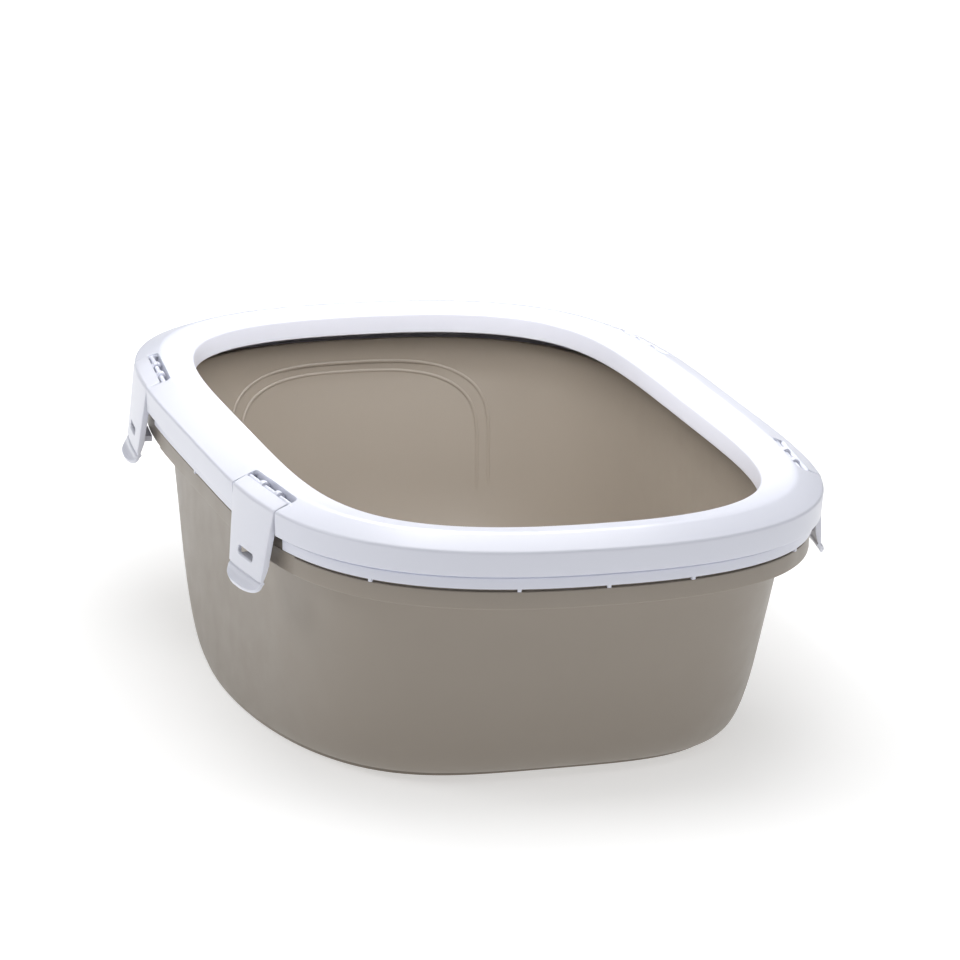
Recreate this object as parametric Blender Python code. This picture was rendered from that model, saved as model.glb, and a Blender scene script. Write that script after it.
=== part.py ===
# Cat litter tray with a clip-on splash rim held by four hinged latch clips.
# Metres, +Z up, +Y to the rear. The object stands on z = 0, centred on x = y = 0.
import bpy
import bmesh
import math
from mathutils import Vector, Matrix

for old in list(bpy.data.objects):
    bpy.data.objects.remove(old, do_unlink=True)

# ---------------------------------------------------------------- driving sizes
rim_width = 0.400            # outside width at the outer top edge of the rim
rim_length = 0.598           # outside length at the same edge
end_power = 2.35             # roundness of the two short ends
side_power = 4.2             # straightness of the two long sides
around = 96                  # points round every outline

rim_edge_height = 0.1850     # outer top edge of the rim above the floor
facet_run = 0.0180           # outward-sloping part of the deck
facet_drop = 0.0073          # fall of that slope, crest to outer edge
crest_flat = 0.0040          # level strip along the crest
inner_run = 0.0200           # inward-sloping part of the deck
inner_drop = 0.0036          # fall of that slope, crest to inner edge
lip_drop = 0.0150            # depth of the inner lip below the deck
rim_wall = 0.0026            # wall of the rim moulding
edge_fillet = 0.0016         # outer top edge of the rim and of the clips
wall_depth = 0.0168          # outer top edge down to the groove
groove_height = 0.0020
groove_depth = 0.0014        # behind the lower skirt
skirt_inset = 0.0060         # lower skirt behind the outer top edge
skirt_depth = 0.0078         # lower skirt below the groove
seat_gap = 0.0020            # rim skirt over the tray collar

collar_inset = 0.0080        # collar face behind the rim edge
collar_height = 0.0122
collar_wall = 0.0030         # skirt of the collar
flange_wall = 0.0030         # level flange of the collar
stand_height = 0.0052        # upstand on the collar that fits inside the rim's skirt
stand_wall = 0.0022
wall_rise = 0.0098           # tray wall above the collar, behind the rim's inner lip
tray_wall = 0.0030
wall_top_inset = 0.0255      # tray wall behind the rim edge, at the collar
base_width = 0.3420          # foot outline
base_length = 0.4020
base_end_power = 3.8
base_side_power = 2.0
bottom_radius = 0.0660       # height of the rounding between wall and floor
corner_share = 0.66          # part of the wall's inset reached where its straight line meets the floor
foot_height = 0.0034
foot_width = 0.0080
foot_recess = 0.0025

clip_spacing = 0.2920        # front pair of clips to rear pair, middle to middle
clip_width = 0.0670
clip_side_gap = 0.0010       # clip to the cut-out, each side
slot_run = 0.0076            # open slot between the deck and the clip's top plate
clip_wall = 0.0025
clip_return = 0.0042         # depth of the clip's side walls
clip_length = 0.0480         # front plate, deck edge down to the finger tab
clip_flare = 0.085           # outward lean of the front plate
clip_taper = 0.150           # each side draws in by this share of the drop
tab_reach = 0.0056           # finger tab, outward and downward from the front plate
tab_drop = 0.0078
pin_radius = 0.0015
pin_clearance = 0.00035
knuckle_wall = 0.00155
knuckle_width = 0.0050
knuckle_spacing = 0.0240
pin_depth = 0.0036           # pin axis below the deck
slot_edge_gap = 0.0006       # knuckle to the inner edge of the slot
boss_width = 0.0040
recess_gap = 0.0010          # knuckles to the floor of the slot
recess_wall = 0.0018
nose_width = 0.0240
nose_height = 0.0040
latch_gap = 0.0003           # nose to the pocket face, and touching faces in general
window_height = 0.0054       # hole in the clip above the nose
pocket_width = 0.0920        # pocket in the collar behind a clip
pocket_depth = 0.0014
nub_width = 0.0024
end_nub_pitch = 0.0600
corner_nub_x = 0.1500

# ---------------------------------------------------------------- derived heights
half_w = rim_width / 2
half_l = rim_length / 2
z_edge = rim_edge_height
z_crest = z_edge + facet_drop
z_groove = z_edge - wall_depth
z_skirt = z_groove - groove_height - skirt_depth
z_top = z_skirt - seat_gap               # top face of the collar
z_collar = z_top - collar_height
z_flange = z_top - flange_wall
slope = facet_drop / facet_run
stand_inset = skirt_inset + rim_wall + groove_depth   # clears the inside of the skirt
cut_inner = facet_run + slot_edge_gap    # inner edge of the clip slot
knuckle_radius = pin_radius + pin_clearance + knuckle_wall
pin_inset = cut_inner - slot_edge_gap - knuckle_radius
z_pin = z_edge + slope * pin_inset - pin_depth
plate_inner = cut_inner - slot_run
z_recess = z_pin - knuckle_radius - recess_gap        # floor of the slot
z_nose = z_collar - latch_gap            # nose under the collar's lower edge
cut_half = clip_width / 2 + clip_side_gap


def quadrant(a, b, p, q, steps):
    """Evenly spaced points of |x/a|^p + |y/b|^q = 1 in the first quadrant."""
    dense = []
    total = 600
    for i in range(total + 1):
        t = i / total * math.pi / 2
        c = max(math.cos(t), 0.0)
        s = max(math.sin(t), 0.0)
        dense.append((a * c ** (2 / p), b * s ** (2 / q)))
    run = [0.0]
    for i in range(total):
        dx = dense[i + 1][0] - dense[i][0]
        dy = dense[i + 1][1] - dense[i][1]
        run.append(run[-1] + math.hypot(dx, dy))
    points = []
    j = 0
    for k in range(steps + 1):
        want = run[-1] * k / steps
        while j < total - 1 and run[j + 1] < want:
            j += 1
        f = (want - run[j]) / max(run[j + 1] - run[j], 1e-12)
        f = min(max(f, 0.0), 1.0)
        x = dense[j][0] + (dense[j + 1][0] - dense[j][0]) * f
        y = dense[j][1] + (dense[j + 1][1] - dense[j][1]) * f
        points.append((x, y))
    points[0] = (a, 0.0)
    points[-1] = (0.0, b)
    return points


def normal_at(a, b, p, q, x, y):
    gx = p / a * (abs(x) / a) ** (p - 1)
    gy = q / b * (abs(y) / b) ** (q - 1)
    n = math.hypot(gx, gy)
    return math.copysign(gx / n, x), math.copysign(gy / n, y)


def outline(a, b, p, q):
    """Closed outline, anticlockwise from +X, with outward normals."""
    quad = quadrant(a, b, p, q, around // 4)
    full = [(x, y) for x, y in quad[:-1]]
    full += [(-x, y) for x, y in reversed(quad)][:-1]
    full += [(-x, -y) for x, y in quad][:-1]
    full += [(x, -y) for x, y in reversed(quad)][:-1]
    rows = []
    for x, y in full:
        nx, ny = normal_at(a, b, p, q, x, y)
        rows.append((x, y, nx, ny))
    return rows


rim_line = outline(half_w, half_l, end_power, side_power)
foot_line = outline(base_width / 2, base_length / 2, base_end_power, base_side_power)


def ring(line, inset, z):
    return [Vector((x - nx * inset, y - ny * inset, z)) for x, y, nx, ny in line]


def blend(share):
    """Tray wall outline between the collar (0) and the foot (1), with normals."""
    rows = []
    pts = []
    for (x, y, nx, ny), (fx, fy, gx, gy) in zip(rim_line, foot_line):
        wx = x - nx * wall_top_inset
        wy = y - ny * wall_top_inset
        pts.append((wx + (fx - wx) * share, wy + (fy - wy) * share))
    n = len(pts)
    for i in range(n):
        ax, ay = pts[i - 1]
        bx, by = pts[(i + 1) % n]
        tx = bx - ax
        ty = by - ay
        m = math.hypot(tx, ty)
        rows.append((pts[i][0], pts[i][1], ty / m, -tx / m))
    return rows


# ---------------------------------------------------------------- scene helpers
home = bpy.data.collections.new("cat_litter_box")
tools = bpy.data.collections.new("cutters")
bpy.context.scene.collection.children.link(home)
bpy.context.scene.collection.children.link(tools)


def new_object(name, bm, collection):
    bmesh.ops.recalc_face_normals(bm, faces=bm.faces)
    mesh = bpy.data.meshes.new(name)
    bm.to_mesh(mesh)
    bm.free()
    obj = bpy.data.objects.new(name, mesh)
    collection.objects.link(obj)
    if collection is tools:
        obj.hide_render = True
        obj.display_type = "WIRE"
    return obj


def loft(bm, rings, loop=False):
    """Skin a list of closed rings. loop joins the last ring to the first."""
    rows = [[bm.verts.new(p) for p in r] for r in rings]
    n = len(rows[0])
    count = len(rows)
    for j in range(count if loop else count - 1):
        lower = rows[j]
        upper = rows[(j + 1) % count]
        for i in range(n):
            k = (i + 1) % n
            bm.faces.new((lower[i], lower[k], upper[k], upper[i]))
    if not loop:
        bm.faces.new(list(reversed(rows[0])))
        bm.faces.new(rows[-1])


def box(bm, low, high, frame):
    size = Vector([h - l for l, h in zip(low, high)])
    mid = Vector([(h + l) / 2 for l, h in zip(low, high)])
    place = frame @ Matrix.Translation(mid) @ Matrix.Diagonal((size.x, size.y, size.z, 1.0))
    bmesh.ops.create_cube(bm, size=1.0, matrix=place)


def rod(bm, radius, half, y, z, frame, sides=20, middle=0.0):
    turn = Matrix.Rotation(math.pi / 2, 4, "Y")
    place = frame @ Matrix.Translation((middle, y, z)) @ turn
    bmesh.ops.create_cone(bm, cap_ends=True, segments=sides, radius1=radius, radius2=radius,
                          depth=2 * half, matrix=place)


def boolean(obj, cutter, kind):
    mod = obj.modifiers.new(kind.lower() + "_" + cutter.name, "BOOLEAN")
    mod.operation = kind
    mod.solver = "EXACT"
    mod.object = cutter
    return mod


def material(obj, name, colour, rough):
    mat = bpy.data.materials.new(name)
    mat.use_nodes = True
    shader = mat.node_tree.nodes["Principled BSDF"]
    shader.inputs["Base Color"].default_value = (colour[0], colour[1], colour[2], 1.0)
    shader.inputs["Roughness"].default_value = rough
    obj.data.materials.append(mat)


def edge_point(sx, y):
    """Point and outward normal on the rim's long edge, left or right, at a given y."""
    x = sx * half_w * (1 - (abs(y) / half_l) ** side_power) ** (1 / end_power)
    nx, ny = normal_at(half_w, half_l, end_power, side_power, x, y)
    return Vector((x, y, 0.0)), Vector((nx, ny, 0.0))


def frame_at(point, normal):
    """Local frame: X along the edge, Y outward, Z up."""
    side = normal.cross(Vector((0.0, 0.0, 1.0)))
    rows = Matrix((side, normal, Vector((0.0, 0.0, 1.0)))).transposed().to_4x4()
    return Matrix.Translation(point) @ rows


def end_frame(sy, x):
    y = half_l * (1 - (abs(x) / half_w) ** end_power) ** (1 / side_power)
    nx, ny = normal_at(half_w, half_l, end_power, side_power, x, y)
    return frame_at(Vector((x, sy * y, 0.0)), Vector((nx, sy * ny, 0.0)))


clip_y = clip_spacing / 2
stations = [("clip_front_left", -1, -clip_y), ("clip_front_right", 1, -clip_y),
            ("clip_rear_left", -1, clip_y), ("clip_rear_right", 1, clip_y)]
frames = {}
for label, sx, y in stations:
    spot, out = edge_point(sx, y)
    frames[label] = frame_at(spot, out)


def sag_curve(y):
    """Bow of the rim edge across a clip, read from the outline itself."""
    spot, out = edge_point(1, y)
    side = out.cross(Vector((0.0, 0.0, 1.0)))
    total = 0.0
    for step in (-1, 1):
        gap = edge_point(1, y + step * clip_width * 0.45)[0] - spot
        total += -gap.dot(out) / gap.dot(side) ** 2
    return total / 2


# ---------------------------------------------------------------- tray
steps_down = 9
profile = []
mean_inset = 0.0
for (x, y, nx, ny), (fx, fy, gx, gy) in zip(rim_line, foot_line):
    mean_inset += math.hypot(x - nx * wall_top_inset - fx, y - ny * wall_top_inset - fy)
mean_inset /= len(rim_line)
z_round = min(bottom_radius, z_collar * 0.8)
straight = corner_share * (z_collar - z_round) / (z_collar - foot_height)
profile.append((0.0, z_collar))
profile.append((straight * 0.5, (z_collar + z_round) / 2))
for k in range(steps_down + 1):
    t = 0.955 * k / steps_down
    height = (1 - t) ** 2 * z_round + (1 - (1 - t) ** 2) * foot_height
    share = (1 - t) ** 2 * straight + 2 * t * (1 - t) * corner_share + t * t
    profile.append((share, height))

outer = []
inner = []
for j, (share, height) in enumerate(profile):
    line = blend(share)
    outer.append(ring(line, 0.0, height))
    a = profile[max(j - 1, 0)]
    b = profile[min(j + 1, len(profile) - 1)]
    run = (b[0] - a[0]) * mean_inset
    drop = a[1] - b[1]
    m = math.hypot(run, drop)
    inner.append(ring(line, tray_wall * drop / m, height + tray_wall * run / m))
floor_line = blend(1.0)

rings = []
rings.append(ring(floor_line, foot_width + 0.0010, foot_recess))
rings.append(ring(floor_line, foot_width, 0.0))
rings.append(ring(floor_line, 0.0012, 0.0))
rings.append(ring(floor_line, 0.0006, foot_height - 0.0004))
rings += list(reversed(outer))
rings.append(ring(rim_line, wall_top_inset, z_flange))
rings.append(ring(rim_line, collar_inset + collar_wall, z_flange))
rings.append(ring(rim_line, collar_inset + collar_wall, z_collar))
rings.append(ring(rim_line, collar_inset + 0.0004, z_collar))
rings.append(ring(rim_line, collar_inset, z_collar + 0.0006))
rings.append(ring(rim_line, collar_inset, z_top - 0.0006))
rings.append(ring(rim_line, collar_inset + 0.0006, z_top))
rings.append(ring(rim_line, stand_inset, z_top))
rings.append(ring(rim_line, stand_inset + 0.0003, z_top + stand_height))
rings.append(ring(rim_line, stand_inset + stand_wall - 0.0003, z_top + stand_height))
rings.append(ring(rim_line, stand_inset + stand_wall, z_top))
rings.append(ring(rim_line, wall_top_inset, z_top))
rings.append(ring(rim_line, wall_top_inset + 0.0004, z_top + wall_rise))
rings.append(ring(rim_line, wall_top_inset + tray_wall - 0.0008, z_top + wall_rise))
rings.append(ring(rim_line, wall_top_inset + tray_wall, z_top + wall_rise - 0.0008))
rings += inner
bm = bmesh.new()
loft(bm, rings)
tray = new_object("tray", bm, home)

bm = bmesh.new()
for label, sx, middle in stations:
    strips = []
    count = 14
    for k in range(count + 1):
        spot, out = edge_point(sx, middle + (k / count - 0.5) * pocket_width)
        face = spot - out * (collar_inset + pocket_depth)
        ahead = spot - out * (collar_inset - 0.004)
        heights = (z_collar - 0.004, z_top + 0.004)
        corners = ((ahead, heights[0]), (face, heights[0]), (face, heights[1]), (ahead, heights[1]))
        strips.append([place + Vector((0.0, 0.0, z)) for place, z in corners])
    loft(bm, strips)
boolean(tray, new_object("pocket_cutter", bm, tools), "DIFFERENCE")
material(tray, "tray_plastic", (0.235, 0.195, 0.165), 0.38)

# ---------------------------------------------------------------- rim
full_inset = facet_run + crest_flat + inner_run
z_inner = z_crest - inner_drop
z_lip = z_inner - lip_drop
under = rim_wall * 1.08
web = rim_wall * 0.92
section = [
    (0.0, z_edge - edge_fillet), (0.0008, z_groove + 0.0006), (0.0014, z_groove),
    (skirt_inset + groove_depth, z_groove), (skirt_inset + groove_depth, z_groove - groove_height),
    (skirt_inset, z_groove - groove_height - 0.0004), (skirt_inset + 0.0003, z_skirt + 0.0005),
    (skirt_inset + 0.0008, z_skirt), (skirt_inset + rim_wall + 0.0003, z_skirt),
    (skirt_inset + rim_wall + groove_depth, z_groove + web), (rim_wall + 0.0014, z_groove + web + 0.0006),
    (rim_wall, z_edge - rim_wall * 1.3), (rim_wall + 0.0014, z_edge + slope * (rim_wall + 0.0014) - under),
    (facet_run + 0.0006, z_crest - under), (facet_run + crest_flat, z_crest - under),
    (full_inset - rim_wall, z_inner + 0.0004 - under), (full_inset - rim_wall + 0.0006, z_lip + 0.0006),
    (full_inset - rim_wall + 0.0012, z_lip), (full_inset, z_lip), (full_inset + 0.0006, z_lip + 0.0006),
    (full_inset + 0.0002, z_inner - 0.0012), (full_inset - 0.0012, z_inner + 0.0002),
    (facet_run + crest_flat, z_crest - 0.0001), (facet_run + crest_flat / 2, z_crest),
    (facet_run, z_crest - 0.0002), (0.0018, z_edge + slope * 0.0018 - 0.0002),
    (0.0006, z_edge - 0.0004),
]
bm = bmesh.new()
loft(bm, [ring(rim_line, inset, z) for inset, z in section], loop=True)
rim = new_object("rim", bm, home)

bm = bmesh.new()
for label, sx, middle in stations:
    box(bm, (-cut_half, -cut_inner, z_skirt - 0.006), (cut_half, 0.008, z_crest + 0.008), frames[label])
boolean(rim, new_object("clip_cutter", bm, tools), "DIFFERENCE")

bm = bmesh.new()
boss_top = z_edge + slope * (pin_inset - knuckle_radius) - 0.0008
for label, sx, middle in stations:
    for sign in (-1, 1):
        ends = sorted((sign * (cut_half - 0.0002), sign * (cut_half + boss_width)))
        box(bm, (ends[0], -pin_inset - knuckle_radius, z_recess - recess_wall / 2),
            (ends[1], -pin_inset + knuckle_radius, boss_top), frames[label])
boolean(rim, new_object("pin_bosses", bm, tools), "UNION")
bm = bmesh.new()
for label, sx, middle in stations:
    rod(bm, pin_radius, cut_half + boss_width / 2, -pin_inset, z_pin, frames[label])
boolean(rim, new_object("pin_bars", bm, tools), "UNION")
reach = cut_half + boss_width / 2
bm = bmesh.new()
for label, sx, middle in stations:
    box(bm, (-reach, -cut_inner - recess_wall, z_recess - recess_wall),
        (reach, -plate_inner - slot_edge_gap, z_recess), frames[label])
boolean(rim, new_object("slot_floors", bm, tools), "UNION")
bm = bmesh.new()
for label, sx, middle in stations:
    box(bm, (-reach - 0.0004, -cut_inner - recess_wall - 0.0004, z_recess - recess_wall / 2),
        (reach + 0.0004, -cut_inner, z_crest - under + 0.0008), frames[label])
boolean(rim, new_object("slot_walls", bm, tools), "UNION")

nub_frames = []
for sy in (-1, 1):
    for x in (-end_nub_pitch, 0.0, end_nub_pitch, -corner_nub_x, corner_nub_x):
        nub_frames.append(end_frame(sy, x))
for sx in (-1, 1):
    nub_frames.append(frame_at(Vector((sx * half_w, 0.0, 0.0)), Vector((float(sx), 0.0, 0.0))))
bm = bmesh.new()
for place in nub_frames:
    box(bm, (-nub_width / 2, -skirt_inset - rim_wall, z_top + latch_gap),
        (nub_width / 2, -skirt_inset - 0.0010, z_skirt + 0.0012), place)
boolean(rim, new_object("spacer_nubs", bm, tools), "UNION")
material(rim, "rim_plastic", (0.86, 0.865, 0.885), 0.26)

# ---------------------------------------------------------------- clips
top_dir = Vector((1.0, -slope)).normalized()
front_dir = Vector((clip_flare, -1.0)).normalized()
top_in = Vector((top_dir.y, -top_dir.x))
front_in = Vector((front_dir.y, -front_dir.x))


def mitre(depth):
    """Point at one depth under both plates, measured from their outer corner."""
    det = top_in.x * front_in.y - top_in.y * front_in.x
    return Vector((depth * (front_in.y - top_in.y) / det, depth * (top_in.x - front_in.x) / det))


corner = Vector((0.0, z_edge))


def clip_path():
    """Stations: outer point, width, side wall depth, how to reach a depth, share of the bow."""
    path = []
    for inset in (plate_inner, plate_inner * 0.62):
        point = corner + top_dir * (-inset / top_dir.x)
        path.append((point, clip_width, clip_wall + 0.0005, top_in, None, 1 - inset / plate_inner))
    slip = 0.0004
    path.append((corner - top_dir * edge_fillet, clip_width, clip_return, None, -top_dir * slip, 0.9))
    mid = corner - (top_dir - front_dir) * (edge_fillet * 0.30)
    path.append((mid, clip_width, clip_return, None, Vector((0.0, 0.0)), 1.0))
    below = corner + front_dir * edge_fillet
    path.append((below, clip_width - 0.0002, clip_return, None, front_dir * slip, 1.0))
    count = 5
    for k in range(1, count + 1):
        drop = clip_length * k / count
        point = corner + front_dir * ((drop + edge_fillet) / -front_dir.y)
        wide = clip_width - 2 * clip_taper * drop
        path.append((point, wide, clip_return if k < count else clip_return * 0.9, front_in, None, 1.0))
    last = path[-1][0]
    wide = path[-1][1]
    turns = ((0.10, 0.40, 0.0030, 14), (0.34, 0.72, 0.0080, 34),
             (0.68, 0.93, 0.0160, 58), (1.0, 1.0, 0.0270, 72))
    for out, low, less, angle in turns:
        point = last + Vector((tab_reach * out, -tab_drop * low))
        turn = math.radians(angle)
        into = Vector((-math.cos(turn), -math.sin(turn)))
        path.append((point, wide - less, clip_wall + 0.0004, into, None, 1.0))
    return path


def clip_shell(bow):
    sections = []
    columns = 6
    for point, wide, deep, into, shift, share in clip_path():
        half = wide / 2
        flange = clip_wall * 0.85
        inside = half - flange
        loop = []
        for k in range(columns + 1):
            loop.append((-half + wide * k / columns, 0.0))
        loop.append((half, deep))
        loop.append((inside, deep))
        for k in range(columns + 1):
            loop.append((inside - 2 * inside * k / columns, clip_wall))
        loop.append((-inside, deep))
        loop.append((-half, deep))
        ring_points = []
        for x, depth in loop:
            if depth == 0.0:
                place = point
            elif into is None:
                place = corner + mitre(depth) + shift
            else:
                place = point + into * depth
            ring_points.append(Vector((x, place.x - bow * share * x * x + pin_inset, place.y - z_pin)))
        sections.append(ring_points)
    bm = bmesh.new()
    loft(bm, sections)
    return bm


still = Matrix.Identity(4)


def knuckle_shape():
    """Open eye round the pin with the arm that joins it to the top plate, in Y and Z."""
    bore = pin_radius + pin_clearance
    low = -0.0006
    high = z_edge + slope * (plate_inner - 0.0016) - 0.0004 - z_pin
    reach = pin_inset - plate_inner + 0.0016
    start = math.radians(-90)
    end = math.radians(172)
    points = []
    lower_join = math.asin(low / knuckle_radius)
    upper_join = math.asin(high / knuckle_radius)
    for k in range(5):
        t = start + (lower_join - start) * k / 4
        points.append((knuckle_radius * math.cos(t), knuckle_radius * math.sin(t)))
    points.append((reach, low))
    points.append((reach, high))
    for k in range(9):
        t = upper_join + (end - upper_join) * k / 8
        points.append((knuckle_radius * math.cos(t), knuckle_radius * math.sin(t)))
    for k in range(13):
        t = end + (start - end) * k / 12
        points.append((bore * math.cos(t), bore * math.sin(t)))
    return points


def make_clip(label, middle):
    obj = new_object(label, clip_shell(sag_curve(middle)), home)
    obj.matrix_world = frames[label] @ Matrix.Translation((0.0, -pin_inset, z_pin))
    here = obj.matrix_world

    bm = bmesh.new()
    plate_out = clip_flare * (z_edge - z_nose) - clip_wall
    nose_back = pin_inset - collar_inset - pocket_depth + latch_gap
    box(bm, (-nose_width / 2, nose_back, z_nose - nose_height - z_pin),
        (nose_width / 2, plate_out + 0.0010 + pin_inset, z_nose - z_pin), still)
    nose = new_object(label + "_nose", bm, tools)
    nose.matrix_world = here
    boolean(obj, nose, "UNION")

    bm = bmesh.new()
    for sign in (-1, 1):
        x = sign * knuckle_spacing / 2
        faces = (x - knuckle_width / 2, x + knuckle_width / 2)
        loft(bm, [[Vector((at, y, z)) for y, z in knuckle_shape()] for at in faces])
    knuckles = new_object(label + "_knuckles", bm, tools)
    knuckles.matrix_world = here
    boolean(obj, knuckles, "UNION")

    bm = bmesh.new()
    box(bm, (-nose_width / 2, pin_inset - 0.0012, z_nose + latch_gap - z_pin),
        (nose_width / 2, pin_inset + 0.020, z_nose + latch_gap + window_height - z_pin), still)
    hole = new_object(label + "_window", bm, tools)
    hole.matrix_world = here
    boolean(obj, hole, "DIFFERENCE")
    material(obj, label + "_plastic", (0.86, 0.865, 0.885), 0.26)
    return obj


clips = [make_clip(label, middle) for label, sx, middle in stations]
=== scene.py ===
# Looks of the cat litter box: a moulded tray, a clip-on splash rim and four latch clips, in metres, +Z up.
import math

import bmesh
import bpy
import numpy as np
from mathutils import Matrix, Vector


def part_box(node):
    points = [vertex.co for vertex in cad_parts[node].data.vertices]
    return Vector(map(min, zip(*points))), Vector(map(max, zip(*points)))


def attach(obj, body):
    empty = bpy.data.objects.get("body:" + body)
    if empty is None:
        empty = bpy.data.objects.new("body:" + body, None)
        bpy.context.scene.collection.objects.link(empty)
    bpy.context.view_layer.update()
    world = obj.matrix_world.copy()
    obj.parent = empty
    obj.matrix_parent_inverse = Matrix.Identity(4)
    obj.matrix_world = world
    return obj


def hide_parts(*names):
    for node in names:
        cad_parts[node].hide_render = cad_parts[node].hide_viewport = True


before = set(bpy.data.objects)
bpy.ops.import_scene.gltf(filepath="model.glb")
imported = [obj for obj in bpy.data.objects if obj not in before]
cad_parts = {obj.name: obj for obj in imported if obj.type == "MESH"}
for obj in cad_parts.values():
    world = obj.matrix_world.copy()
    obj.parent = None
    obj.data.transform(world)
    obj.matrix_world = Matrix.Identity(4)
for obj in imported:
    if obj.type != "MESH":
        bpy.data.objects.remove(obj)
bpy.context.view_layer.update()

# ---------------------------------------------------------------- sizes
# Insets are measured inward from the rim's outer edge, and heights from the floor the tray stands on.
rim_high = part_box("rim")[1]
tray_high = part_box("tray")[1]
HALF_W = rim_high.x
HALF_L = rim_high.y
Z_CREST = rim_high.z
WALL_RISE = 0.0098
STAND_HEIGHT = 0.0052
Z_TOP = tray_high.z - WALL_RISE
END_POWER = 2.35
SIDE_POWER = 4.2
AROUND = 480

# Rim: outer facet, crest, inner facet and lip, outer wall, groove and skirt.
FACET_RUN = 0.0180
FACET_DROP = 0.0073
CREST_FLAT = 0.0040
INNER_RUN = 0.0200
INNER_DROP = 0.0036
LIP_DROP = 0.0150
RIM_WALL = 0.0026
DECK_WALL = RIM_WALL * 1.08
WALL_DEPTH = 0.0168
GROOVE_HEIGHT = 0.0020
GROOVE_DEPTH = 0.0014
SKIRT_INSET = 0.0060
Z_EDGE = Z_CREST - FACET_DROP
Z_GROOVE = Z_EDGE - WALL_DEPTH
Z_SKIRT = Z_TOP + 0.0020
Z_INNER = Z_CREST - INNER_DROP
Z_LIP = Z_INNER - LIP_DROP
SLOPE = FACET_DROP / FACET_RUN
FULL_INSET = FACET_RUN + CREST_FLAT + INNER_RUN

# Tray: collar, upstand, wall, foot.
COLLAR_INSET = HALF_W - tray_high.x
COLLAR_WALL = 0.0030
STAND_INSET = SKIRT_INSET + RIM_WALL + GROOVE_DEPTH
STAND_WALL = 0.0022
STAND_DRAFT = 0.0003
FLANGE_WALL = 0.0030
TRAY_WALL = 0.0030
WALL_TOP_INSET = 0.0255
Z_COLLAR = Z_TOP - 0.0122
Z_FLANGE = Z_TOP - FLANGE_WALL
BASE_WIDTH = 0.3420
BASE_LENGTH = 0.4020
BASE_END_POWER = 3.8
BASE_SIDE_POWER = 2.0
BOTTOM_RADIUS = 0.0660
ROUND_END = 0.955
CORNER_SHARE = 0.66
FOOT_HEIGHT = 0.0034
FOOT_WIDTH = 0.0080
FOOT_RECESS = 0.0025

# The arch in relief on the rear wall's inside.
ARCH_POWER = 3.2
ARCH_HALF_WIDTH = 0.0014
ARCH_HEIGHT = 0.0010
ARCH_SINK = 0.0001

# Clips, their pins and the cut-outs they sit in.
CLIP_Y = 0.1460
CLIP_WIDTH = 0.0670
CLIP_SIDE_GAP = 0.0010
SLOT_RUN = 0.0076
CLIP_WALL = 0.0025
CLIP_RETURN = 0.0042
CLIP_LENGTH = 0.0480
CLIP_FLARE = 0.085
CLIP_TAPER = 0.150
TAB_REACH = 0.0056
TAB_DROP = 0.0078
TAB_CREASE = 0.0010
PIN_RADIUS = 0.0015
PIN_CLEARANCE = 0.00035
KNUCKLE_RADIUS = 0.0034
KNUCKLE_WIDTH = 0.0050
KNUCKLE_SPACING = 0.0240
PIN_DEPTH = 0.0036
BOSS_WIDTH = 0.0040
RECESS_GAP = 0.0010
RECESS_WALL = 0.0018
NOSE_WIDTH = 0.0240
NOSE_HEIGHT = 0.0040
WINDOW_HEIGHT = 0.0054
WINDOW_RADIUS = 0.0019
POCKET_WIDTH = 0.0920
POCKET_DEPTH = 0.0014
POCKET_MARGIN = 0.0040
NUB_WIDTH = 0.0024
END_NUB_PITCH = 0.0600
CORNER_NUB_X = 0.1500
TOUCH_GAP = 0.0003
SLIT = 0.0006
CUT_INNER = FACET_RUN + SLIT
CUT_HALF = CLIP_WIDTH / 2 + CLIP_SIDE_GAP
PIN_INSET = FACET_RUN - KNUCKLE_RADIUS
Z_PIN = Z_EDGE + SLOPE * PIN_INSET - PIN_DEPTH
PLATE_INNER = CUT_INNER - SLOT_RUN
Z_RECESS = Z_PIN - KNUCKLE_RADIUS - RECESS_GAP
Z_NOSE = Z_COLLAR - TOUCH_GAP


# ---------------------------------------------------------------- outlines
def normals_on(a, b, p, q, points):
    """Outward normals of |x/a|^p + |y/b|^q = 1."""
    gx = np.sign(points[:, 0]) * p / a * (np.abs(points[:, 0]) / a) ** (p - 1)
    gy = np.sign(points[:, 1]) * q / b * (np.abs(points[:, 1]) / b) ** (q - 1)
    g = np.stack([gx, gy], axis=1)
    return g / np.linalg.norm(g, axis=1)[:, None]


def outline(a, b, p, q):
    """Evenly spaced points, anticlockwise from +X, with their outward normals."""
    fine_steps = 6001
    t = np.linspace(0, math.pi / 2, fine_steps)
    x = a * np.maximum(np.cos(t), 0) ** (2 / p)
    y = b * np.maximum(np.sin(t), 0) ** (2 / q)
    run = np.concatenate([[0], np.cumsum(np.hypot(np.diff(x), np.diff(y)))])
    want = np.linspace(0, run[-1], AROUND // 4 + 1)
    first = np.stack([np.interp(want, run, x), np.interp(want, run, y)], axis=1)
    back = first[::-1]
    quarters = [first, back * (-1, 1), first * (-1, -1), back * (1, -1)]
    points = np.concatenate([quarter[:-1] for quarter in quarters])
    return points, normals_on(a, b, p, q, points)


RIM_LINE = outline(HALF_W, HALF_L, END_POWER, SIDE_POWER)
FOOT_LINE = outline(BASE_WIDTH / 2, BASE_LENGTH / 2, BASE_END_POWER, BASE_SIDE_POWER)


def ring(line, inset, z):
    """An outline moved inward by an inset and lifted to a height."""
    points, normals = line
    flat = points - normals * inset
    return np.column_stack([flat, np.full(len(flat), z)])


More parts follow.
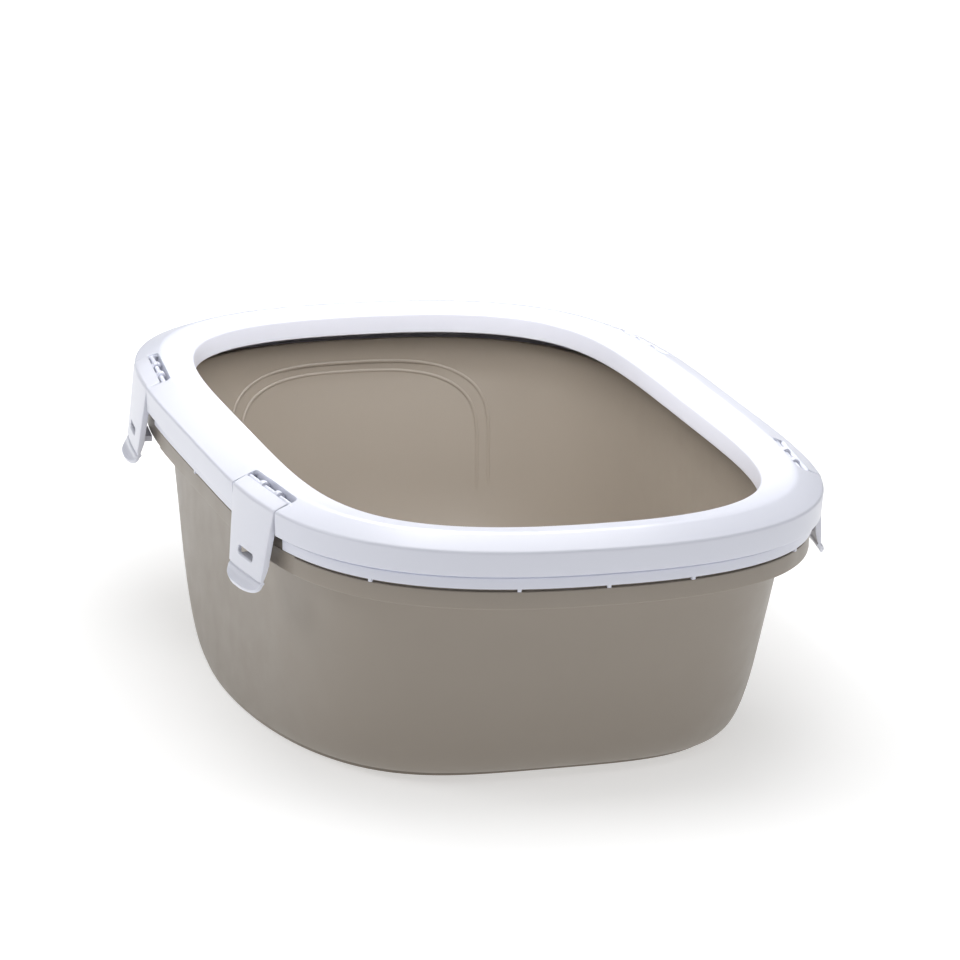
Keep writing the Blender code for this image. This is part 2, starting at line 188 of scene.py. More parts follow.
def blend_line(share):
    """Tray wall outline between the collar (0) and the foot (1)."""
    top = RIM_LINE[0] - RIM_LINE[1] * WALL_TOP_INSET
    flat = top + (FOOT_LINE[0] - top) * share
    along = np.roll(flat, -1, axis=0) - np.roll(flat, 1, axis=0)
    out = np.column_stack([along[:, 1], -along[:, 0]])
    return flat, out / np.linalg.norm(out, axis=1)[:, None]


def rounded(corners, steps=5, closed=True):
    """Section through corners (inset, z, radius), each rounded with a smooth arc."""
    count = len(corners)
    points = []
    for i, (x, z, radius) in enumerate(corners):
        here = np.array((x, z))
        if radius <= 0 or (not closed and i in (0, count - 1)):
            points.append(here)
            continue
        before = np.array(corners[i - 1][:2]) - here
        after = np.array(corners[(i + 1) % count][:2]) - here
        reach = min(radius, 0.48 * np.linalg.norm(before), 0.48 * np.linalg.norm(after))
        start = here + before / np.linalg.norm(before) * reach
        end = here + after / np.linalg.norm(after) * reach
        for k in range(steps + 1):
            t = k / steps
            points.append((1 - t) ** 2 * start + 2 * t * (1 - t) * here + t * t * end)
    return points


# ---------------------------------------------------------------- mesh helpers
SHARP_DEGREES = 32


def new_piece(name, bm):
    """An object made from a bmesh, which is freed."""
    bmesh.ops.recalc_face_normals(bm, faces=bm.faces)
    mesh = bpy.data.meshes.new(name)
    bm.to_mesh(mesh)
    bm.free()
    piece = bpy.data.objects.new(name, mesh)
    bpy.context.scene.collection.objects.link(piece)
    return piece


def skin(bm, rings, join_ends=False):
    """Joins rings of equal length with quads, then caps both ends or joins the last ring to the first."""
    rows = [[bm.verts.new(Vector(point)) for point in loop] for loop in rings]
    count = len(rows[0])
    for j in range(len(rows) if join_ends else len(rows) - 1):
        low = rows[j]
        high = rows[(j + 1) % len(rows)]
        for i in range(count):
            k = (i + 1) % count
            bm.faces.new((low[i], low[k], high[k], high[i]))
    if not join_ends:
        bm.faces.new(list(reversed(rows[0])))
        bm.faces.new(rows[-1])


def prism(bm, shape, middle, half):
    """Extrudes a closed shape (Y, Z) along X, from middle - half to middle + half."""
    skin(bm, [[(x, y, z) for y, z in shape] for x in (middle - half, middle + half)])


def block(bm, low, high, place):
    """A box between two corners of a local frame."""
    size = Vector(high) - Vector(low)
    middle = (Vector(high) + Vector(low)) / 2
    stretch = Matrix.Diagonal((size.x, size.y, size.z, 1.0))
    bmesh.ops.create_cube(bm, size=1.0, matrix=place @ Matrix.Translation(middle) @ stretch)


def combine(piece, tools):
    """Applies Boolean tools, given as (bmesh, operation), to a piece."""
    helpers = []
    for k, (bm, operation) in enumerate(tools):
        helper = new_piece(f"{piece.name}_tool_{k}", bm)
        modifier = piece.modifiers.new(f"tool_{k}", "BOOLEAN")
        modifier.operation = operation
        modifier.solver = "EXACT"
        modifier.object = helper
        helpers.append(helper)
    graph = bpy.context.evaluated_depsgraph_get()
    made = bpy.data.meshes.new_from_object(piece.evaluated_get(graph))
    piece.modifiers.clear()
    piece.data = made
    for helper in helpers:
        bpy.data.objects.remove(helper, do_unlink=True)


def smooth(piece):
    piece.data.shade_smooth()
    piece.data.set_sharp_from_angle(angle=math.radians(SHARP_DEGREES))


def frame_at(point, normal):
    """Local frame: X along the edge, Y outward, Z up."""
    side = normal.cross(Vector((0.0, 0.0, 1.0)))
    axes = Matrix((side, normal, Vector((0.0, 0.0, 1.0)))).transposed().to_4x4()
    return Matrix.Translation(point) @ axes


def edge_point(side, y):
    """Point and outward normal on the rim's long edge, left (-1) or right (1)."""
    x = side * HALF_W * (1 - (abs(y) / HALF_L) ** SIDE_POWER) ** (1 / END_POWER)
    nx, ny = normals_on(HALF_W, HALF_L, END_POWER, SIDE_POWER, np.array([[x, y]]))[0]
    return Vector((x, y, 0.0)), Vector((nx, ny, 0.0))


def end_frame(end, x):
    """Local frame on the rim's short edge, front (-1) or rear (1)."""
    y = end * HALF_L * (1 - (abs(x) / HALF_W) ** END_POWER) ** (1 / SIDE_POWER)
    nx, ny = normals_on(HALF_W, HALF_L, END_POWER, SIDE_POWER, np.array([[x, y]]))[0]
    return frame_at(Vector((x, y, 0.0)), Vector((nx, ny, 0.0)))


# Each clip's side of the rim, left (-1) or right (1), and its place along it.
STATIONS = {"clip_front_left": (-1, -CLIP_Y), "clip_front_right": (1, -CLIP_Y),
            "clip_rear_left": (-1, CLIP_Y), "clip_rear_right": (1, CLIP_Y)}
CLIP_FRAMES = {name: frame_at(*edge_point(side, y)) for name, (side, y) in STATIONS.items()}


# ---------------------------------------------------------------- materials
# Noise scales are waves per metre.
PLASTIC_IOR = 1.49
TONE_SCALE = 11.0
GLOSS_SCALE = 46.0
WAVE_SCALE = 26.0


def add_noise(mat, scale, detail):
    """A noise texture fixed to the piece, which returns its height output."""
    nodes = mat.node_tree.nodes
    place = nodes.new("ShaderNodeTexCoord")
    node = nodes.new("ShaderNodeTexNoise")
    node.inputs["Scale"].default_value = scale
    node.inputs["Detail"].default_value = detail
    mat.node_tree.links.new(place.outputs["Object"], node.inputs["Vector"])
    return node.outputs["Fac"]


def plastic(name, colour, roughness, spread, tone):
    """Moulded plastic with a faint change of tone and an uneven gloss."""
    mat = bpy.data.materials.new(name)
    mat.use_nodes = True
    nodes = mat.node_tree.nodes
    links = mat.node_tree.links
    shader = nodes["Principled BSDF"]
    shader.inputs["IOR"].default_value = PLASTIC_IOR

    mix = nodes.new("ShaderNodeMix")
    mix.data_type = "RGBA"
    mix.inputs["A"].default_value = (*[c * (1 - tone) for c in colour], 1.0)
    mix.inputs["B"].default_value = (*[c * (1 + tone) for c in colour], 1.0)
    links.new(add_noise(mat, TONE_SCALE, 3.0), mix.inputs["Factor"])
    links.new(mix.outputs["Result"], shader.inputs["Base Color"])

    gloss = nodes.new("ShaderNodeMapRange")
    gloss.inputs["From Min"].default_value = 0.3
    gloss.inputs["From Max"].default_value = 0.7
    gloss.inputs["To Min"].default_value = roughness - spread
    gloss.inputs["To Max"].default_value = roughness + spread
    links.new(add_noise(mat, GLOSS_SCALE, 5.0), gloss.inputs["Value"])
    links.new(gloss.outputs["Result"], shader.inputs["Roughness"])
    return mat


def add_bump(mat, height, strength, distance):
    """A bump node driven by a height, which returns the node."""
    bump = mat.node_tree.nodes.new("ShaderNodeBump")
    bump.inputs["Strength"].default_value = strength
    bump.inputs["Distance"].default_value = distance
    mat.node_tree.links.new(height, bump.inputs["Height"])
    return bump


def grained(mat, grain_size, grain_depth, wave_depth):
    """Adds slow surface waves and, over them, the fine grain of the mould."""
    links = mat.node_tree.links
    shader = mat.node_tree.nodes["Principled BSDF"]
    slow = add_bump(mat, add_noise(mat, WAVE_SCALE, 1.0), 1.0, wave_depth)
    fine = add_bump(mat, add_noise(mat, 1.0 / grain_size, 2.0), 0.6, grain_depth)
    links.new(slow.outputs["Normal"], fine.inputs["Normal"])
    links.new(fine.outputs["Normal"], shader.inputs["Normal"])
    return mat


TRAY_PLASTIC = plastic("tray_plastic", (0.300, 0.262, 0.220), 0.42, 0.05, 0.02)
TRAY_PLASTIC = grained(TRAY_PLASTIC, 0.0007, 0.00006, 0.00006)
RIM_PLASTIC = plastic("rim_plastic", (0.712, 0.728, 0.812), 0.32, 0.02, 0.004)
CLIP_PLASTIC = plastic("clip_plastic", (0.735, 0.750, 0.830), 0.32, 0.02, 0.004)


def finish_piece(piece, body, node, mat):
    """Gives a piece its material and smooth shading, and says what it rides on and replaces."""
    piece.data.materials.clear()
    piece.data.materials.append(mat)
    smooth(piece)
    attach(piece, body)
    if node:
        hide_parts(node)
    return piece


# ---------------------------------------------------------------- tray
def wall_profile():
    """Rows (share, height) from the collar down to the foot: a straight wall, then a rounding."""
    z_round = min(BOTTOM_RADIUS, Z_COLLAR * 0.8)
    straight = CORNER_SHARE * (Z_COLLAR - z_round) / (Z_COLLAR - FOOT_HEIGHT)
    wall_steps = 7
    round_steps = 26
    rows = []
    for k in range(wall_steps):
        t = k / wall_steps
        rows.append((straight * t, Z_COLLAR + (z_round - Z_COLLAR) * t))
    for k in range(round_steps + 1):
        t = ROUND_END * k / round_steps
        height = (1 - t) ** 2 * z_round + (1 - (1 - t) ** 2) * FOOT_HEIGHT
        share = (1 - t) ** 2 * straight + 2 * t * (1 - t) * CORNER_SHARE + t * t
        rows.append((share, height))
    return rows


def wall_rings():
    """Rings of the wall's outer face, and of its inner face, from the collar down to the foot."""
    top = RIM_LINE[0] - RIM_LINE[1] * WALL_TOP_INSET
    mean_inset = np.linalg.norm(top - FOOT_LINE[0], axis=1).mean()
    rows = wall_profile()
    outer = []
    inner = []
    for j, (share, height) in enumerate(rows):
        line = blend_line(share)
        outer.append(ring(line, 0.0, height))
        before = rows[max(j - 1, 0)]
        after = rows[min(j + 1, len(rows) - 1)]
        run = (after[0] - before[0]) * mean_inset
        drop = before[1] - after[1]
        size = math.hypot(run, drop)
        inner.append(ring(line, TRAY_WALL * drop / size, height + TRAY_WALL * run / size))
    return outer, inner


def foot_rings():
    """The recessed underside and the foot ring, from the middle outward."""
    foot = blend_line(1.0)
    under = ring(foot, FOOT_WIDTH + 0.0010, FOOT_RECESS)
    rings = [np.column_stack([under[:, :2] * shrink, under[:, 2]]) for shrink in (0.3, 0.6, 0.9, 0.98)]
    rings += [under, ring(foot, FOOT_WIDTH + 0.0004, FOOT_RECESS)]
    corners = [(FOOT_WIDTH, FOOT_RECESS, 0),
               (FOOT_WIDTH - 0.0004, 0.0, 0.0006),
               (0.0010, 0.0, 0.0010),
               (0.0006, FOOT_HEIGHT - 0.0004, 0)]
    return rings + [ring(foot, inset, z) for inset, z in rounded(corners, closed=False)]


def collar_rings():
    """The collar, its upstand and the wall's raised edge, from the outer wall over to the inner one."""
    collar_inner = COLLAR_INSET + COLLAR_WALL
    z_stand = Z_TOP + STAND_HEIGHT
    corners = [(WALL_TOP_INSET, Z_COLLAR + 0.002, 0),
               (WALL_TOP_INSET, Z_FLANGE, 0.0030),
               (collar_inner, Z_FLANGE, 0.0012),
               (collar_inner, Z_COLLAR, 0.0006),
               (COLLAR_INSET, Z_COLLAR, 0.0012),
               (COLLAR_INSET, Z_TOP, 0.0016),
               (STAND_INSET, Z_TOP, 0.0005),
               (STAND_INSET + STAND_DRAFT, z_stand, 0.0006),
               (STAND_INSET + STAND_WALL - STAND_DRAFT, z_stand, 0.0006),
               (STAND_INSET + STAND_WALL, Z_TOP, 0.0008),
               (WALL_TOP_INSET, Z_TOP, 0.0010),
               (WALL_TOP_INSET + 0.0004, Z_TOP + WALL_RISE, 0.0012),
               (WALL_TOP_INSET + TRAY_WALL, Z_TOP + WALL_RISE, 0.0012),
               (WALL_TOP_INSET + TRAY_WALL, Z_COLLAR + 0.0015, 0)]
    return [ring(RIM_LINE, inset, z) for inset, z in rounded(corners, closed=False)]


def floor_rings(edge):
    """The inside floor, from its edge toward the middle, with a very slight fall."""
    rings = []
    for shrink in (0.97, 0.9, 0.75, 0.5, 0.25):
        rings.append(np.column_stack([edge[:, :2] * shrink, edge[:, 2] - 0.0002 * (1 - shrink)]))
    return rings


def pocket_cutter():
    """Shallow pockets in the collar's outer face, one behind each clip's nose."""
    steps = 24
    low = Z_COLLAR - POCKET_MARGIN
    high = Z_TOP + POCKET_MARGIN
    outer = COLLAR_INSET - POCKET_MARGIN
    inner = COLLAR_INSET + POCKET_DEPTH
    section = ((outer, low), (inner, low), (inner, high), (outer, high))
    pockets = bmesh.new()
    for side, middle in STATIONS.values():
        strips = []
        for k in range(steps + 1):
            spot, out = edge_point(side, middle + (k / steps - 0.5) * POCKET_WIDTH)
            strips.append([spot - out * inset + Vector((0.0, 0.0, z)) for inset, z in section])
        skin(pockets, strips)
    return pockets


def make_tray():
    outer, inner = wall_rings()
    rings = foot_rings() + outer[::-1][1:] + collar_rings() + inner[1:] + floor_rings(inner[-1])
    bm = bmesh.new()
    skin(bm, rings)
    tray = new_piece("tray_shell", bm)
    combine(tray, [(pocket_cutter(), "DIFFERENCE")])
    return finish_piece(tray, "tray", "tray", TRAY_PLASTIC)


def arch_path(half_width, crown, base):
    """Points (x, z) along an arch: a leg up, a rounded crown, and a leg down."""
    steps = 90
    path = []
    for k in range(steps + 1):
        t = math.pi * k / steps
        x = half_width * math.copysign(abs(math.cos(t)) ** (2 / ARCH_POWER), math.cos(t))
        z = base + (crown - base) * max(math.sin(t), 0.0) ** (2 / ARCH_POWER)
        path.append((x, z))
    for drop in (0.012, 0.026, 0.040):
        foot_x = half_width * (1 - 0.03 * drop / 0.04)
        path.insert(0, (foot_x, base - drop))
        path.append((-foot_x, base - drop))
    return path


def on_rear_wall(x, z, heights, shares):
    """Point on the inside of the rear wall at a width and a height, with the wall's outward normal."""
    flat, out = blend_line(float(np.interp(z, heights, shares)))
    rear = flat[:, 1] > 0
    order = np.argsort(flat[rear][:, 0])
    spots = flat[rear][order]
    normals = out[rear][order]
    spot = np.array([x, np.interp(x, spots[:, 0], spots[:, 1])])
    normal = np.array([np.interp(x, spots[:, 0], normals[:, 0]), np.interp(x, spots[:, 0], normals[:, 1])])
    spot = spot - normal * (TRAY_WALL - ARCH_SINK)
    return Vector((spot[0], spot[1], z)), normal


def make_arch(name, half_width, crown, base):
    """A raised bead that follows an arch on the inside of the rear wall."""
    rows = wall_profile()[::-1]
    heights = [height for share, height in rows]
    shares = [share for share, height in rows]
    points = [on_rear_wall(x, z, heights, shares) for x, z in arch_path(half_width, crown, base)]
    last = len(points) - 1
    sides = 12
    rings = []
    for i, (point, normal) in enumerate(points):
        along = (points[min(i + 1, last)][0] - points[max(i - 1, 0)][0]).normalized()
        inward = Vector((-normal[0], -normal[1], 0.25)).normalized()
        across = along.cross(inward).normalized()
        fade = min(1.0, 0.25 + i / 3, 0.25 + (last - i) / 3)
        loop = []
        for k in range(sides):
            a = 2 * math.pi * k / sides
            spread = across * (ARCH_HALF_WIDTH * math.cos(a))
            loop.append(point + spread + inward * (ARCH_HEIGHT * fade * math.sin(a)))
        rings.append(loop)
    bm = bmesh.new()
    skin(bm, rings)
    return finish_piece(new_piece(name, bm), "tray", None, TRAY_PLASTIC)


# ---------------------------------------------------------------- rim
def rim_corners():
    """The rim's closed section: outer wall, groove, skirt, the underside back to the lip, and the deck."""
    web = RIM_WALL * 0.92
    skirt_inner = SKIRT_INSET + RIM_WALL
    groove_floor = SKIRT_INSET + GROOVE_DEPTH
    z_under_groove = Z_GROOVE - GROOVE_HEIGHT
    crest_end = FACET_RUN + CREST_FLAT
    lip_inner = FULL_INSET - RIM_WALL
    return [(0.0, Z_EDGE, 0.0019),
            (0.0010, Z_GROOVE, 0.0011),
            (groove_floor, Z_GROOVE, 0.0003),
            (groove_floor, z_under_groove, 0.0003),
            (SKIRT_INSET, z_under_groove - 0.0003, 0.0008),
            (SKIRT_INSET + 0.0003, Z_SKIRT, 0.0008),
            (skirt_inner + 0.0003, Z_SKIRT, 0.0005),
            (skirt_inner + GROOVE_DEPTH, Z_GROOVE + web, 0.0008),
            (RIM_WALL + 0.0008, Z_GROOVE + web, 0.0008),
            (RIM_WALL, Z_EDGE - DECK_WALL + SLOPE * RIM_WALL, 0.0012),
            (CUT_INNER, Z_CREST - DECK_WALL, 0.0010),
            (crest_end, Z_CREST - DECK_WALL, 0.0010),
            (lip_inner, Z_INNER - DECK_WALL, 0.0012),
            (lip_inner + 0.0003, Z_LIP, 0.0006),
            (FULL_INSET + 0.0004, Z_LIP, 0.0009),
            (FULL_INSET, Z_INNER, 0.0021),
            (crest_end, Z_CREST, 0.0022),
            (FACET_RUN, Z_CREST, 0.0022)]


def clip_cutter():
    """Openings in the rim's edge for the clips, each with two rounded inner corners."""
    radius = 0.0030
    steps = 6
    shape = [(CUT_HALF, 0.010), (-CUT_HALF, 0.010)]
    for sign, start in ((-1, math.pi), (1, 1.5 * math.pi)):
        for k in range(steps + 1):
            a = start + math.pi / 2 * k / steps
            shape.append((sign * (CUT_HALF - radius) + radius * math.cos(a),
                          -CUT_INNER + radius + radius * math.sin(a)))
    cuts = bmesh.new()
    for place in CLIP_FRAMES.values():
        levels = (Z_SKIRT - 0.006, Z_CREST + 0.008)
        skin(cuts, [[place @ Vector((x, y, z)) for x, y in shape] for z in levels])
    return cuts


def pin_bosses():
    """A boss at each end of every pin."""
    top = Z_EDGE + SLOPE * (PIN_INSET - KNUCKLE_RADIUS) - 0.0008
    bosses = bmesh.new()
    for place in CLIP_FRAMES.values():
        for sign in (-1, 1):
            ends = sorted((sign * (CUT_HALF - 0.0002), sign * (CUT_HALF + BOSS_WIDTH)))
            block(bosses, (ends[0], -PIN_INSET - KNUCKLE_RADIUS, Z_RECESS - RECESS_WALL / 2),
                  (ends[1], -PIN_INSET + KNUCKLE_RADIUS, top), place)
    return bosses


def hinge_pins():
    turn = Matrix.Rotation(math.pi / 2, 4, "Y")
    pins = bmesh.new()
    for frame_of_clip in CLIP_FRAMES.values():
        place = frame_of_clip @ Matrix.Translation((0.0, -PIN_INSET, Z_PIN)) @ turn
        bmesh.ops.create_cone(pins, cap_ends=True, segments=32, radius1=PIN_RADIUS, radius2=PIN_RADIUS,
                              depth=2 * CUT_HALF + BOSS_WIDTH, matrix=place)
    return pins


def recess_floors():
    """The floor under each pin."""
    reach = CUT_HALF + BOSS_WIDTH / 2
    floors = bmesh.new()
    for place in CLIP_FRAMES.values():
        block(floors, (-reach, -CUT_INNER - RECESS_WALL, Z_RECESS - RECESS_WALL),
              (reach, -PLATE_INNER - SLIT, Z_RECESS), place)
    return floors


def recess_walls():
    """The wall behind each pin, from the recess floor up to the deck."""
    overlap = 0.0004
    reach = CUT_HALF + BOSS_WIDTH / 2 + overlap
    walls = bmesh.new()
    for place in CLIP_FRAMES.values():
        block(walls, (-reach, -CUT_INNER - RECESS_WALL - overlap, Z_RECESS - RECESS_WALL / 2),
              (reach, -CUT_INNER, Z_CREST - DECK_WALL + 2 * overlap), place)
    return walls


def spacer_nubs():
    """Small nubs under the skirt: five at each end and one on each side."""
    places = []
    for end in (-1, 1):
        for x in (-END_NUB_PITCH, 0.0, END_NUB_PITCH, -CORNER_NUB_X, CORNER_NUB_X):
            places.append(end_frame(end, x))
    for side in (-1, 1):
        places.append(frame_at(Vector((side * HALF_W, 0.0, 0.0)), Vector((float(side), 0.0, 0.0))))
    nubs = bmesh.new()
    for place in places:
        block(nubs, (-NUB_WIDTH / 2, -SKIRT_INSET - RIM_WALL, Z_TOP + TOUCH_GAP),
              (NUB_WIDTH / 2, -SKIRT_INSET - 0.0004, Z_SKIRT + 0.0012), place)
    return nubs


def make_rim():
    bm = bmesh.new()
    skin(bm, [ring(RIM_LINE, inset, z) for inset, z in rounded(rim_corners())], join_ends=True)
    rim = new_piece("rim_shell", bm)
    combine(rim, [(clip_cutter(), "DIFFERENCE"), (pin_bosses(), "UNION"), (hinge_pins(), "UNION"),
                  (recess_floors(), "UNION"), (recess_walls(), "UNION"), (spacer_nubs(), "UNION")])
    return finish_piece(rim, "rim", "rim", RIM_PLASTIC)


# ---------------------------------------------------------------- clips
def bow_of_edge(y):
    """How much the rim's edge bows away from a straight line across a clip."""
    spot, out = edge_point(1, y)
    side = out.cross(Vector((0.0, 0.0, 1.0)))
    total = 0.0
    for step in (-1, 1):
        gap = edge_point(1, y + step * CLIP_WIDTH * 0.45)[0] - spot
        total -= gap.dot(out) / gap.dot(side) ** 2
    return total / 2


def clip_path():
    """Rows down the clip's outer face: y, z, width, side wall depth, inward y and z, share of the bow."""
    top = np.array((1.0, -SLOPE)) / math.hypot(1.0, SLOPE)
    front = np.array((CLIP_FLARE, -1.0)) / math.hypot(1.0, CLIP_FLARE)
    corner = np.array((0.0, Z_EDGE))
    bend = 0.0024
    rows = []

    def add(point, width, deep, along, share):
        inward = np.array((along[1], -along[0]))
        rows.append((point[0], point[1], width, deep, inward[0], inward[1], share))

    top_steps = 5
    for k in range(top_steps):
        inset = PLATE_INNER - (PLATE_INNER - bend) * k / top_steps
        add(corner - top * inset / top[0], CLIP_WIDTH, CLIP_WALL, top, 1 - inset / PLATE_INNER)
    start = corner - top * bend
    end = corner + front * bend
    bend_steps = 8
    for k in range(bend_steps + 1):
        t = k / bend_steps
        point = (1 - t) ** 2 * start + 2 * t * (1 - t) * corner + t * t * end
        along = (1 - t) * top + t * front
        along = along / np.linalg.norm(along)
        deep = CLIP_WALL + (CLIP_RETURN - CLIP_WALL) * max(t - 0.55, 0.0) / 0.45
        add(point, CLIP_WIDTH, deep, along, 0.8 + 0.2 * t)
    plate_steps = 24
    fade_steps = 4
    for k in range(1, plate_steps + 1):
        drop = CLIP_LENGTH * k / plate_steps
        point = corner + front * ((drop + 0.0016) / -front[1])
        fade = max(k - plate_steps + fade_steps, 0) / fade_steps
        deep = CLIP_RETURN - (CLIP_RETURN - CLIP_WALL) * fade
        add(point, CLIP_WIDTH - 2 * CLIP_TAPER * drop, deep, front, 1.0)
    last = np.array(rows[-1][:2])
    width = rows[-1][2]
    tab_steps = 24
    for k in range(1, tab_steps + 1):
        t = k / tab_steps
        crease = TAB_CREASE * math.exp(-((t - 0.10) / 0.07) ** 2)
        point = last + np.array((TAB_REACH * (0.15 * t + 0.85 * t ** 1.9) - crease,
                                 -TAB_DROP * (1 - (1 - t) ** 1.55)))
        angle = math.radians(8 + 62 * t)
        along = np.array((math.sin(angle), -math.cos(angle)))
        rounding = width / 2 * (1 - math.sqrt(max(1 - (t * 0.985) ** 3.2, 0.0)))
        add(point, width - 2 * min(rounding, width / 2 - 0.006), CLIP_WALL - 0.0004 * t, along, 1.0)
    return rows


def channel_section(width, deep):
    """Closed channel section (x, depth): outer face, rounded edges, side walls and inner face."""
    edge = 0.0007
    wall_edge = edge * 0.6
    arcs = 4
    columns = 14
    half = width / 2
    inside = half - CLIP_WALL * 0.85
    right = []
    for k in range(1, arcs + 1):
        a = math.pi / 2 * k / arcs
        right.append((half - edge + edge * math.sin(a), edge * (1 - math.cos(a))))
    for k in range(arcs + 1):
        a = math.pi / 2 * k / arcs
        right.append((half - wall_edge * (1 - math.cos(a)), deep - wall_edge * (1 - math.sin(a))))
    right.append((inside + edge * 0.4, deep))
    right.append((inside, deep - edge * 0.3))
    left = [(-x, depth) for x, depth in reversed(right)]
    outer = [(-half + edge + (width - 2 * edge) * k / columns, 0.0) for k in range(columns + 1)]
    inner = [(inside - 2 * inside * k / columns, CLIP_WALL - 0.00002) for k in range(columns + 1)]
    return outer + right + inner + left


def clip_body(bow):
    """The channel section swept down the clip, bent to follow the rim's bowed edge."""
    rings = []
    for y, z, width, deep, in_y, in_z, share in clip_path():
        loop = []
        for x, depth in channel_section(width, max(deep, CLIP_WALL)):
            loop.append((x, y + in_y * depth - bow * share * x * x, z + in_z * depth))
        rings.append(loop)
    bm = bmesh.new()
    skin(bm, rings)
    return bm


def arc(radius, start, end, steps):
    """Points on an arc about the origin, with both ends."""
    angles = [start + (end - start) * k / steps for k in range(steps + 1)]
    return [(radius * math.cos(a), radius * math.sin(a)) for a in angles]


def knuckle_shape():
    """Open eye round the pin with the arm that joins it to the top plate, in Y and Z from the pin."""
    overlap = 0.0016
    low = -0.0006
    high = Z_EDGE + SLOPE * (PLATE_INNER - overlap) - 0.0004 - Z_PIN
    reach = PIN_INSET - PLATE_INNER + overlap
    start = math.radians(-90)
    end = math.radians(172)
    shape = arc(KNUCKLE_RADIUS, start, math.asin(low / KNUCKLE_RADIUS), 8)
    shape += [(reach, low), (reach, high)]
    shape += arc(KNUCKLE_RADIUS, math.asin(high / KNUCKLE_RADIUS), end, 16)
    shape += arc(PIN_RADIUS + PIN_CLEARANCE, end, start, 24)
    return shape


def rounded_box(width, height, radius):
    """Rounded rectangle in X and Z."""
    points = []
    for side, level, start in ((1, -1, -90), (1, 1, 0), (-1, 1, 90), (-1, -1, 180)):
        centre_x = side * (width / 2 - radius)
        centre_z = level * (height / 2 - radius)
        corner = arc(radius, math.radians(start), math.radians(start + 90), 6)
        points += [(centre_x + x, centre_z + z) for x, z in corner]
    return points


def clip_nose():
    """The catch behind the front plate, which stops just under the collar."""
    plate_out = CLIP_FLARE * (Z_EDGE - Z_NOSE) - CLIP_WALL
    nose = bmesh.new()
    block(nose, (-NOSE_WIDTH / 2, -COLLAR_INSET - POCKET_DEPTH + TOUCH_GAP, Z_NOSE - NOSE_HEIGHT),
          (NOSE_WIDTH / 2, plate_out + 0.0010, Z_NOSE), Matrix.Identity(4))
    return nose


def clip_knuckles():
    """Two eyes that turn on the pin."""
    shape = [(y - PIN_INSET, z + Z_PIN) for y, z in knuckle_shape()]
    eyes = bmesh.new()
    for sign in (-1, 1):
        prism(eyes, shape, sign * KNUCKLE_SPACING / 2, KNUCKLE_WIDTH / 2)
    return eyes


def window_cutter():
    """The window above the nose, with a small flare at its outer edge."""
    middle = Z_NOSE + TOUCH_GAP + WINDOW_HEIGHT / 2
    face = CLIP_FLARE * (Z_EDGE - middle)
    rings = []
    for depth, grow in ((-0.0060, 0.0), (-0.0007, 0.0), (-0.0001, 0.0004), (0.0030, 0.0030)):
        shape = rounded_box(NOSE_WIDTH + 2 * grow, WINDOW_HEIGHT + 2 * grow, WINDOW_RADIUS + grow)
        rings.append([(x, face + depth, middle + z) for x, z in shape])
    window = bmesh.new()
    skin(window, rings)
    return window


def make_clip(name):
    y = STATIONS[name][1]
    clip = new_piece(name + "_latch", clip_body(bow_of_edge(y)))
    combine(clip, [(clip_nose(), "UNION"), (clip_knuckles(), "UNION"), (window_cutter(), "DIFFERENCE")])
    clip.data.transform(CLIP_FRAMES[name])
    return finish_piece(clip, name, name, CLIP_PLASTIC)


make_tray()
make_arch("tray_arch_outer", 0.1000, 0.1490, 0.1000)
make_arch("tray_arch_inner", 0.0915, 0.1420, 0.0960)
make_rim()
for clip_name in STATIONS:
    make_clip(clip_name)


# ---------------------------------------------------------------- floor, light and camera
def floor_material():
    """Pale floor with painted light: it glows, more away from the tray so that it fades to white, and less
    near the tray, which paints a soft shade round it.
    """
    mat = bpy.data.materials.new("studio_floor")
    mat.use_nodes = True
    nodes = mat.node_tree.nodes
    links = mat.node_tree.links
    shader = nodes["Principled BSDF"]
    shader.inputs["Base Color"].default_value = (0.70, 0.70, 0.70, 1.0)
    shader.inputs["Roughness"].default_value = 0.9
    shader.inputs["Specular IOR Level"].default_value = 0.1
    shader.inputs["Emission Color"].default_value = (1.0, 1.0, 1.0, 1.0)
    place = nodes.new("ShaderNodeTexCoord")
    distance = nodes.new("ShaderNodeVectorMath")
    distance.operation = "LENGTH"
    # Painted glow: its strength rises with distance from the middle, so the floor is painted darker round
    # the tray and brighter far from it.
    glow = nodes.new("ShaderNodeMapRange")
    glow.inputs["From Min"].default_value = 0.25
    glow.inputs["From Max"].default_value = 1.30
    glow.inputs["To Min"].default_value = 0.50
    glow.inputs["To Max"].default_value = 0.95
    links.new(place.outputs["Object"], distance.inputs[0])
    links.new(distance.outputs["Value"], glow.inputs["Value"])
    links.new(glow.outputs["Result"], shader.inputs["Emission Strength"])
    return mat


def make_floor():
    bm = bmesh.new()
    bmesh.ops.create_grid(bm, x_segments=1, y_segments=1, size=12.0)
    floor = new_piece("studio_floor", bm)
    floor.location.z = -0.0002
    floor.data.materials.append(floor_material())


def make_world():
    world = bpy.data.worlds.new("studio")
    world.use_nodes = True
    background = world.node_tree.nodes["Background"]
    background.inputs["Color"].default_value = (1.0, 1.0, 1.0, 1.0)
    background.inputs["Strength"].default_value = 0.06
    bpy.context.scene.world = world


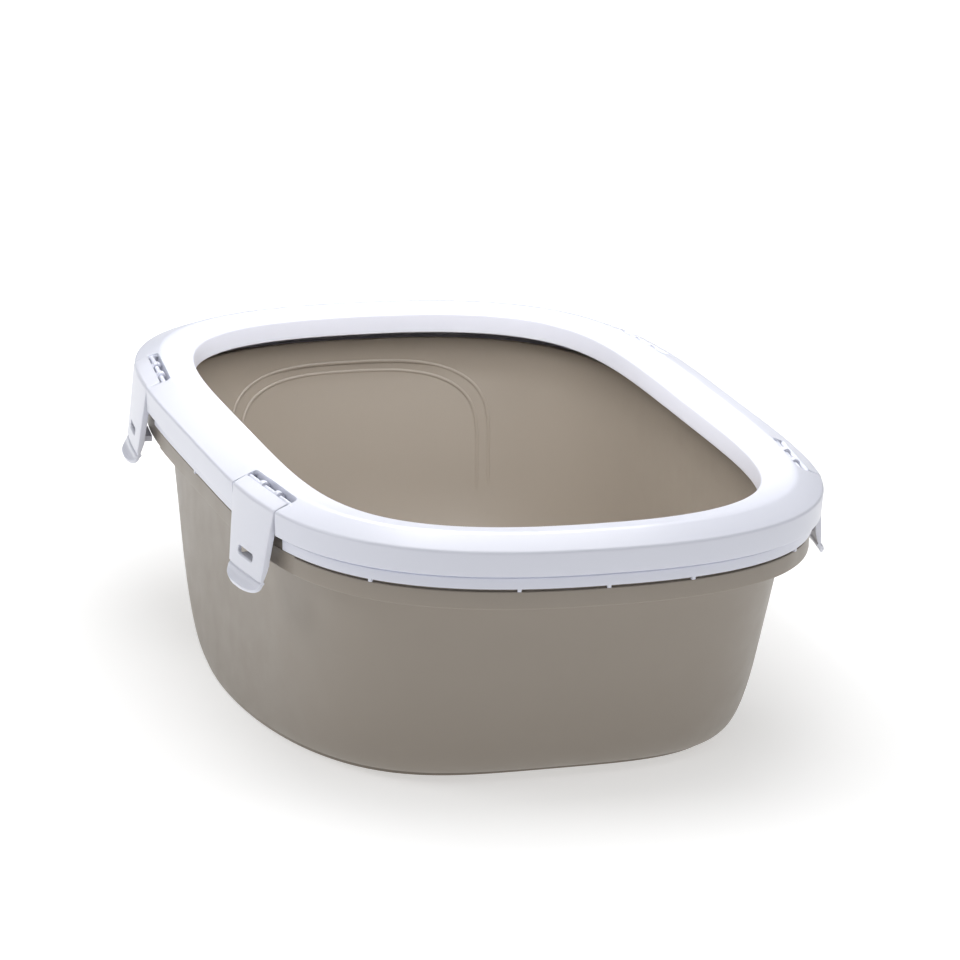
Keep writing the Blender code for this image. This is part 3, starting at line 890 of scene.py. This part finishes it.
def softbox(name, spot, aim, width, height, watts):
    """A rectangular light that the camera doesn't see."""
    light = bpy.data.lights.new(name, "AREA")
    light.shape = "RECTANGLE"
    light.size = width
    light.size_y = height
    light.energy = watts
    lamp = bpy.data.objects.new(name, light)
    lamp.location = spot
    lamp.rotation_euler = (Vector(aim) - Vector(spot)).to_track_quat("-Z", "Y").to_euler()
    lamp.visible_camera = False
    bpy.context.scene.collection.objects.link(lamp)


make_floor()
make_world()
softbox("overhead", (0.0, 0.1, 2.4), (0.0, 0.0, 0.1), 2.0, 2.0, 33)
softbox("inside", (0.0, 0.0, 0.40), (0.0, 0.06, 0.1), 0.24, 0.34, 1.5)
softbox("left", (-1.9, 0.3, 1.5), (0.0, 0.0, 0.15), 1.4, 1.0, 12)
softbox("right", (1.9, 0.7, 1.2), (0.0, 0.0, 0.15), 1.4, 1.0, 2)
softbox("back", (0.3, 2.2, 1.8), (0.0, 0.0, 0.15), 2.0, 1.0, 5)
softbox("front", (-0.3, -1.6, 2.5), (0.0, 0.0, 0.15), 1.4, 1.0, 11)
softbox("front_right", (1.6, -1.3, 1.9), (0.0, 0.0, 0.15), 1.2, 1.0, 5)

# The camera turns about +Z, looks down by the pitch and leans by the roll, all in radians.
TURN = 0.3315
PITCH = 0.2989
ROLL = -0.0364
DISTANCE = 3.3401
SHIFT_RIGHT = 0.0125
SHIFT_UP = 0.1321
SHIFT_BACK = 0.0060


def make_camera():
    data = bpy.data.cameras.new("camera")
    data.lens = 178.68
    data.sensor_width = 36.0
    data.clip_end = 60.0
    camera = bpy.data.objects.new("camera", data)
    level = math.cos(PITCH)
    forward = Vector((math.sin(TURN) * level, math.cos(TURN) * level, -math.sin(PITCH)))
    right = Vector((math.cos(TURN), -math.sin(TURN), 0.0))
    up = right.cross(forward)
    middle = right * SHIFT_RIGHT + up * SHIFT_UP + Vector((0.0, SHIFT_BACK, 0.0))
    tilted_right = right * math.cos(ROLL) - up * math.sin(ROLL)
    tilted_up = right * math.sin(ROLL) + up * math.cos(ROLL)
    axes = Matrix((tilted_right, tilted_up, -forward)).transposed().to_4x4()
    camera.matrix_world = Matrix.Translation(middle - forward * DISTANCE) @ axes
    bpy.context.scene.collection.objects.link(camera)
    bpy.context.scene.camera = camera
    bpy.context.scene.view_settings.view_transform = "Standard"


make_camera()
